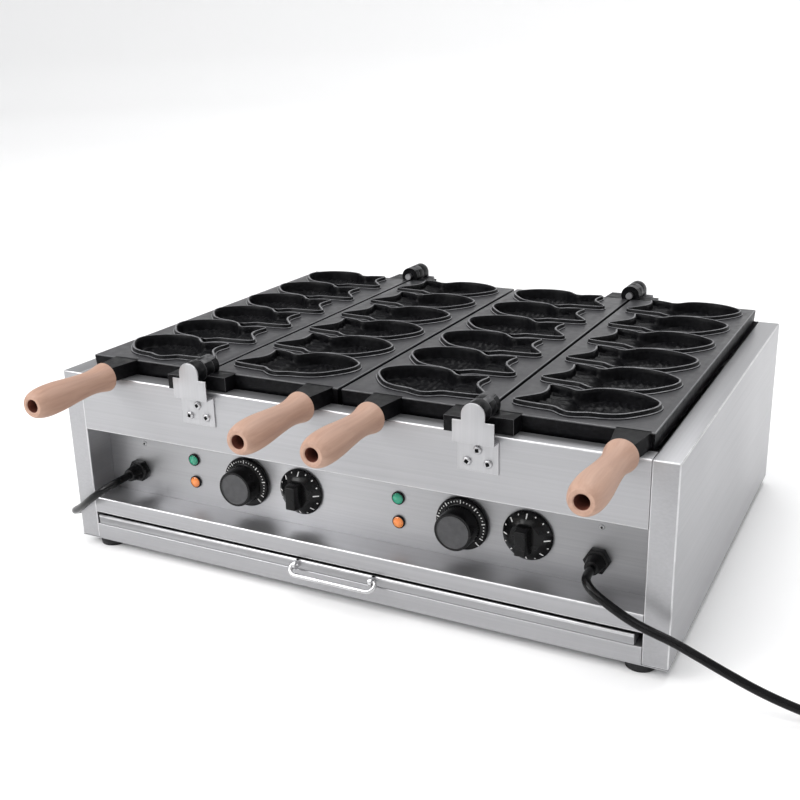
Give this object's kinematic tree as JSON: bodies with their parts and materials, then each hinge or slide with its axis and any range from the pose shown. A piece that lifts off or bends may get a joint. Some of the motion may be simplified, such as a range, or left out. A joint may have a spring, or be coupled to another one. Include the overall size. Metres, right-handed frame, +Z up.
{
  "type": "taiyaki maker",
  "caption": "Countertop fish-shaped cake griddle: pairs of hinged cast mould plates with wooden handles on a stainless casing with dials and a crumb drawer.",
  "frame": {"origin": "under the middle of the object, on the surface that it stands on", "axes": "+X to the right seen from the controls, +Y from the front to the back, +Z up"},
  "size_m": [1.0728, 0.616, 0.231],
  "materials": {
    "stainless": "satin, brushed",
    "zinc_steel": "zinc plated",
    "bright_wire": "polished",
    "cast_plate": "satin black, non-stick",
    "beech": "sanded and oiled",
    "black_plastic": "glossy",
    "rubber": "matte",
    "cord_rubber": "semi-gloss",
    "green_lens": "translucent",
    "orange_lens": "translucent",
    "heater_sheath": "oxidised",
    "ceramic": "glazed",
    "copper": "bare"
  },
  "bodies": {
    "casing": {"base_pan": "stainless", "side_wall_left": "stainless", "side_wall_right": "stainless", "front_panel": "stainless", "control_panel": "stainless", "front_sill": "stainless", "bottom_rail": "stainless", "back_panel": "stainless", "feet": "rubber", "bracket_screws": "zinc_steel", "hinge_brackets_front": "stainless", "hinge_brackets_back": "stainless", "hinge_pins": "zinc_steel", "heating_elements": "heater_sheath", "heater_rails": "zinc_steel", "heat_shield": "zinc_steel", "divider": "zinc_steel", "terminal_block": "ceramic", "thermostat_bulb_left": "copper", "thermostat_bulb_right": "copper", "thermostat_bodies": "black_plastic", "timer_bodies": "black_plastic", "lamps_green": "green_lens", "lamps_orange": "orange_lens", "lamp_bezels": "black_plastic", "cable_gland_left": "black_plastic", "cable_gland_right": "black_plastic", "panel_screws": "zinc_steel", "drawer_runners": "zinc_steel", "cord_left": "cord_rubber", "cord_coil_left": "cord_rubber", "cord_tie_left": "black_plastic", "cord_plug_left": "cord_rubber", "cord_right": "cord_rubber", "cord_coil_right": "cord_rubber", "cord_tie_right": "black_plastic", "cord_plug_right": "cord_rubber"},
    "drawer": {"drawer_tray": "stainless", "bail_eyes": "zinc_steel"},
    "bail": {"drawer_bail": "bright_wire"},
    "plate_1": {"mould_plate_1": "cast_plate", "wood_handle_1": "beech", "handle_rod_1": "zinc_steel"},
    "plate_2": {"mould_plate_2": "cast_plate", "wood_handle_2": "beech", "handle_rod_2": "zinc_steel"},
    "plate_3": {"mould_plate_3": "cast_plate", "wood_handle_3": "beech", "handle_rod_3": "zinc_steel"},
    "plate_4": {"mould_plate_4": "cast_plate", "wood_handle_4": "beech", "handle_rod_4": "zinc_steel"},
    "thermostat_left": {"thermostat_knob_left": "black_plastic", "thermostat_shaft_left": "zinc_steel"},
    "timer_left": {"timer_knob_left": "black_plastic", "timer_shaft_left": "zinc_steel"},
    "thermostat_right": {"thermostat_knob_right": "black_plastic", "thermostat_shaft_right": "zinc_steel"},
    "timer_right": {"timer_knob_right": "black_plastic", "timer_shaft_right": "zinc_steel"}
  },
  "joints": [
    {"name": "plate_1_fold", "type": "hinge", "parent": "casing", "child": "plate_1", "pos_m": [-0.15, 0.0505, 0.22], "axis": [0, 1, 0], "range_deg": [0, 180]},
    {"name": "plate_2_fold", "type": "hinge", "parent": "casing", "child": "plate_2", "pos_m": [-0.15, 0.0505, 0.22], "axis": [0, -1, 0], "range_deg": [0, 180]},
    {"name": "plate_3_fold", "type": "hinge", "parent": "casing", "child": "plate_3", "pos_m": [0.15, 0.0505, 0.22], "axis": [0, 1, 0], "range_deg": [0, 180]},
    {"name": "plate_4_fold", "type": "hinge", "parent": "casing", "child": "plate_4", "pos_m": [0.15, 0.0505, 0.22], "axis": [0, -1, 0], "range_deg": [0, 180]},
    {"name": "thermostat_left_turn", "type": "hinge", "parent": "casing", "child": "thermostat_left", "pos_m": [-0.12, -0.162, 0.0965], "axis": [0, 1, 0], "range_deg": [0, 300]},
    {"name": "timer_left_turn", "type": "hinge", "parent": "casing", "child": "timer_left", "pos_m": [-0.0557, -0.162, 0.0965], "axis": [0, 1, 0], "range_deg": [0, 330]},
    {"name": "thermostat_right_turn", "type": "hinge", "parent": "casing", "child": "thermostat_right", "pos_m": [0.121, -0.162, 0.0965], "axis": [0, 1, 0], "range_deg": [0, 300]},
    {"name": "timer_right_turn", "type": "hinge", "parent": "casing", "child": "timer_right", "pos_m": [0.1853, -0.162, 0.0965], "axis": [0, 1, 0], "range_deg": [0, 330]},
    {"name": "drawer_slide", "type": "slide", "parent": "casing", "child": "drawer", "axis": [0, -1, 0], "range_m": [0, 0.38]},
    {"name": "bail_swing", "type": "hinge", "parent": "drawer", "child": "bail", "pos_m": [0, -0.201, 0.03547], "axis": [-1, 0, 0], "range_deg": [-40, 115]}
  ]
}
